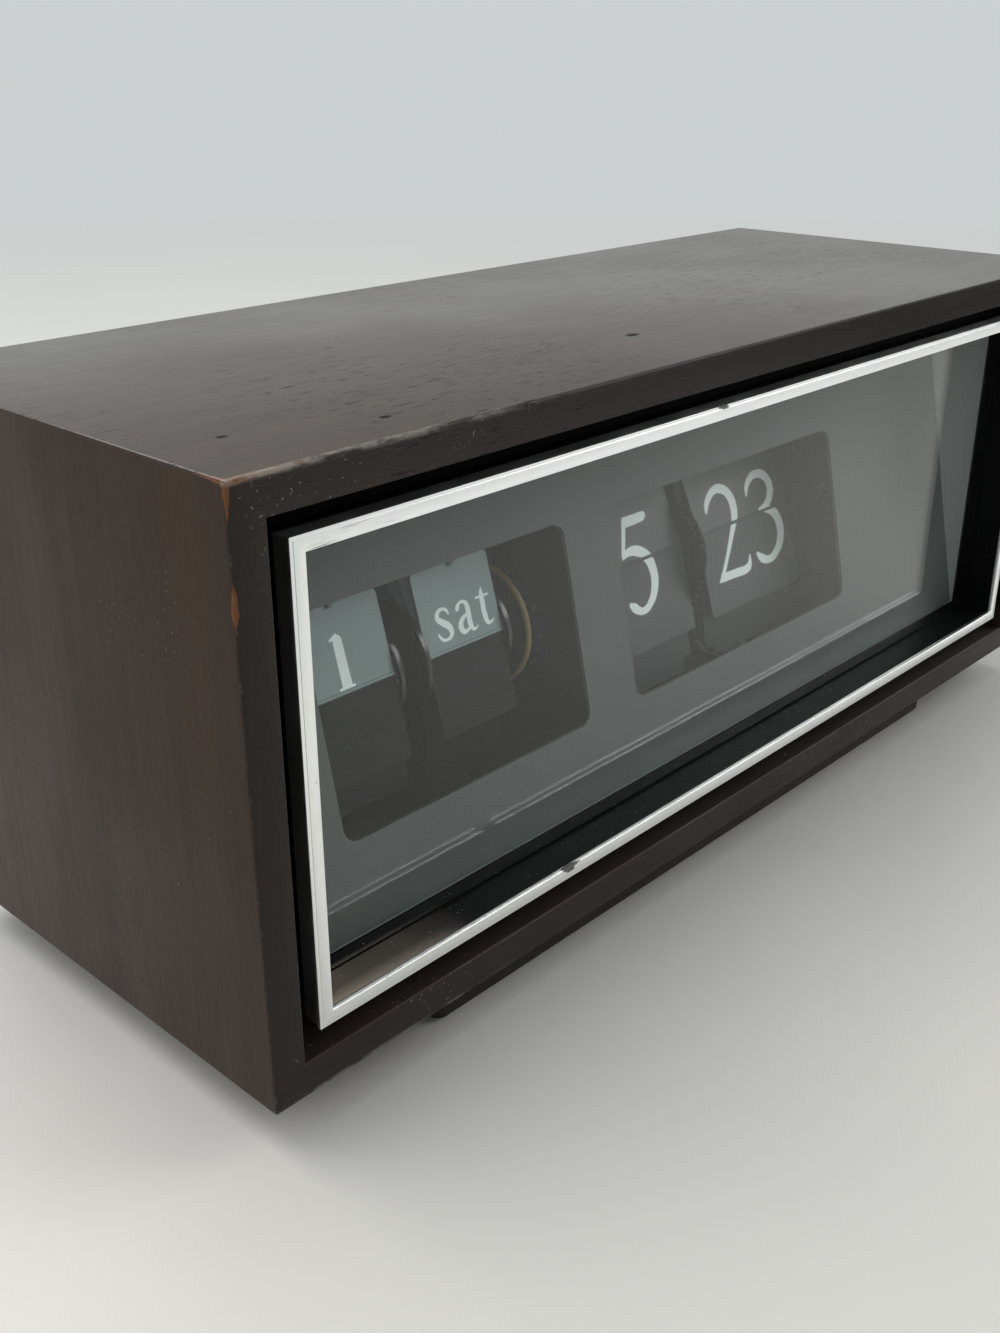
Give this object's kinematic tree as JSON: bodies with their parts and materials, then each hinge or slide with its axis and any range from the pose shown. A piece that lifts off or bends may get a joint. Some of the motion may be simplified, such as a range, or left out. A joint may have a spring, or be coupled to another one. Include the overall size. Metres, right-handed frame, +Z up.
{
  "type": "desk clock with calendar",
  "caption": "Desk clock with leaf display: hours, minutes, date and day on falling leaves behind a clear lens, in a low mitred wooden case on a set-back plinth.",
  "frame": {"origin": "middle of the footprint, on the surface that the clock stands on", "axes": "+X to the viewer's right, along the case; the display faces -Y; +Z up"},
  "size_m": [0.254, 0.0966, 0.1096],
  "materials": {
    "walnut": "dark stained, semi-gloss, open pores",
    "walnut_top": "dark stained, semi-gloss",
    "plinth_wood": "dark stained, satin",
    "block_wood": "bare, sawn",
    "felt": "matte felt",
    "black_plastic": "moulded, satin",
    "bright_trim": "bright satin",
    "clear_lens": "clear, polished",
    "dial_grey": "charcoal, fine matte",
    "zinc_steel": "zinc plated sheet",
    "dark_steel": "black, matte",
    "brass_rod": "turned",
    "ground_steel": "ground, bright",
    "back_board": "moulded, fine texture",
    "grommet_rubber": "moulded, matte",
    "motor_can": "drawn can, zinc plated",
    "leaf_black": "printed plastic sheet",
    "drum_black": "moulded, glossy",
    "gear_white": "moulded acetal",
    "disc_amber": "moulded, translucent amber",
    "wheel_black": "moulded, ribbed rim"
  },
  "bodies": {
    "case": {"case_top": "walnut_top", "case_bottom": "walnut", "case_left": "walnut", "case_right": "walnut", "corner_blocks": "block_wood", "plinth": "plinth_wood", "felt_pads": "felt", "bezel": "black_plastic", "trim_frame": "bright_trim", "lens": "clear_lens", "dial_mask": "dial_grey", "mask_screws": "ground_steel", "back_panel": "back_board", "back_screws": "ground_steel", "cord_grommet": "grommet_rubber", "chassis_base": "zinc_steel", "calendar_left_plate": "zinc_steel", "calendar_right_plate": "zinc_steel", "time_left_plate": "zinc_steel", "centre_plate": "dark_steel", "time_right_plate": "zinc_steel", "chassis_screws": "ground_steel", "calendar_spacers": "brass_rod", "time_spacers": "brass_rod", "calendar_shaft": "ground_steel", "time_shaft": "ground_steel", "shaft_clips": "ground_steel", "calendar_set_rod": "ground_steel", "time_set_stud": "ground_steel", "motor": "motor_can", "motor_screws": "ground_steel", "calendar_hooks": "ground_steel", "time_hooks": "dark_steel", "hour_leaves": "leaf_black", "minute_leaves": "leaf_black", "date_leaves": "leaf_black", "day_leaves": "leaf_black"},
    "minute_drum": {"minute_spool": "drum_black", "minute_wheel": "wheel_black"},
    "hour_drum": {"hour_spool": "drum_black"},
    "transfer": {"transfer_gear": "gear_white"},
    "pinion": {"motor_pinion": "gear_white"},
    "time_setter": {"time_set_wheel": "wheel_black"},
    "date_drum": {"date_spool": "drum_black", "date_wheel": "gear_white"},
    "date_setter": {"date_set_wheel": "wheel_black"},
    "day_drum": {"day_spool": "drum_black", "day_wheel": "wheel_black", "day_disc": "disc_amber"},
    "day_setter": {"day_set_wheel": "wheel_black"},
    "minute_flap": {"minute_leaf": "leaf_black"},
    "hour_flap": {"hour_leaf": "leaf_black"},
    "date_flap": {"date_leaf": "leaf_black"},
    "day_flap": {"day_leaf": "leaf_black"}
  },
  "joints": [
    {"name": "minute_drum_turn", "type": "hinge", "parent": "case", "child": "minute_drum", "pos_m": [0.042, -0.00314, 0.05086], "axis": [1, 0, 0], "continuous": true},
    {"name": "hour_drum_turn", "type": "hinge", "parent": "case", "child": "hour_drum", "pos_m": [0, -0.00314, 0.05086], "axis": [1, 0, 0], "continuous": true},
    {"name": "transfer_turn", "type": "hinge", "parent": "case", "child": "transfer", "pos_m": [0.021, 0.01118, 0.0355], "axis": [1, 0, 0], "continuous": true},
    {"name": "pinion_turn", "type": "hinge", "parent": "case", "child": "pinion", "pos_m": [0.064, -0.00752, 0.02604], "axis": [1, 0, 0], "continuous": true},
    {"name": "time_set_turn", "type": "hinge", "parent": "case", "child": "time_setter", "pos_m": [0.066, 0.02731, 0.05086], "axis": [1, 0, 0], "continuous": true},
    {"name": "date_drum_turn", "type": "hinge", "parent": "case", "child": "date_drum", "pos_m": [-0.084, -0.00884, 0.05375], "axis": [1, 0, 0], "continuous": true},
    {"name": "date_set_turn", "type": "hinge", "parent": "case", "child": "date_setter", "pos_m": [-0.1, 0.01996, 0.05375], "axis": [1, 0, 0], "continuous": true},
    {"name": "day_drum_turn", "type": "hinge", "parent": "case", "child": "day_drum", "pos_m": [-0.055, -0.00884, 0.05375], "axis": [1, 0, 0], "continuous": true},
    {"name": "day_set_turn", "type": "hinge", "parent": "case", "child": "day_setter", "pos_m": [-0.04, 0.01996, 0.05375], "axis": [1, 0, 0], "continuous": true},
    {"name": "minute_fall", "type": "hinge", "parent": "case", "child": "minute_flap", "pos_m": [0.042, -0.01425, 0.05659], "axis": [1, 0, 0], "range_deg": [0, 184.5]},
    {"name": "hour_fall", "type": "hinge", "parent": "case", "child": "hour_flap", "pos_m": [0, -0.01425, 0.05659], "axis": [1, 0, 0], "range_deg": [0, 184.5]},
    {"name": "date_fall", "type": "hinge", "parent": "case", "child": "date_flap", "pos_m": [-0.084, -0.01849, 0.05639], "axis": [1, 0, 0], "range_deg": [0, 175]},
    {"name": "day_fall", "type": "hinge", "parent": "case", "child": "day_flap", "pos_m": [-0.055, -0.01849, 0.05639], "axis": [1, 0, 0], "range_deg": [0, 175]}
  ],
  "couplings": [
    {"joint": "hour_drum_turn", "follows": "minute_drum_turn", "ratio": 0.041667},
    {"joint": "transfer_turn", "follows": "minute_drum_turn", "ratio": -0.16667},
    {"joint": "pinion_turn", "follows": "minute_drum_turn", "ratio": -5},
    {"joint": "time_set_turn", "follows": "minute_drum_turn", "ratio": -2.2222},
    {"joint": "date_set_turn", "follows": "date_drum_turn", "ratio": -0.7561},
    {"joint": "day_set_turn", "follows": "day_drum_turn", "ratio": -0.77778}
  ]
}
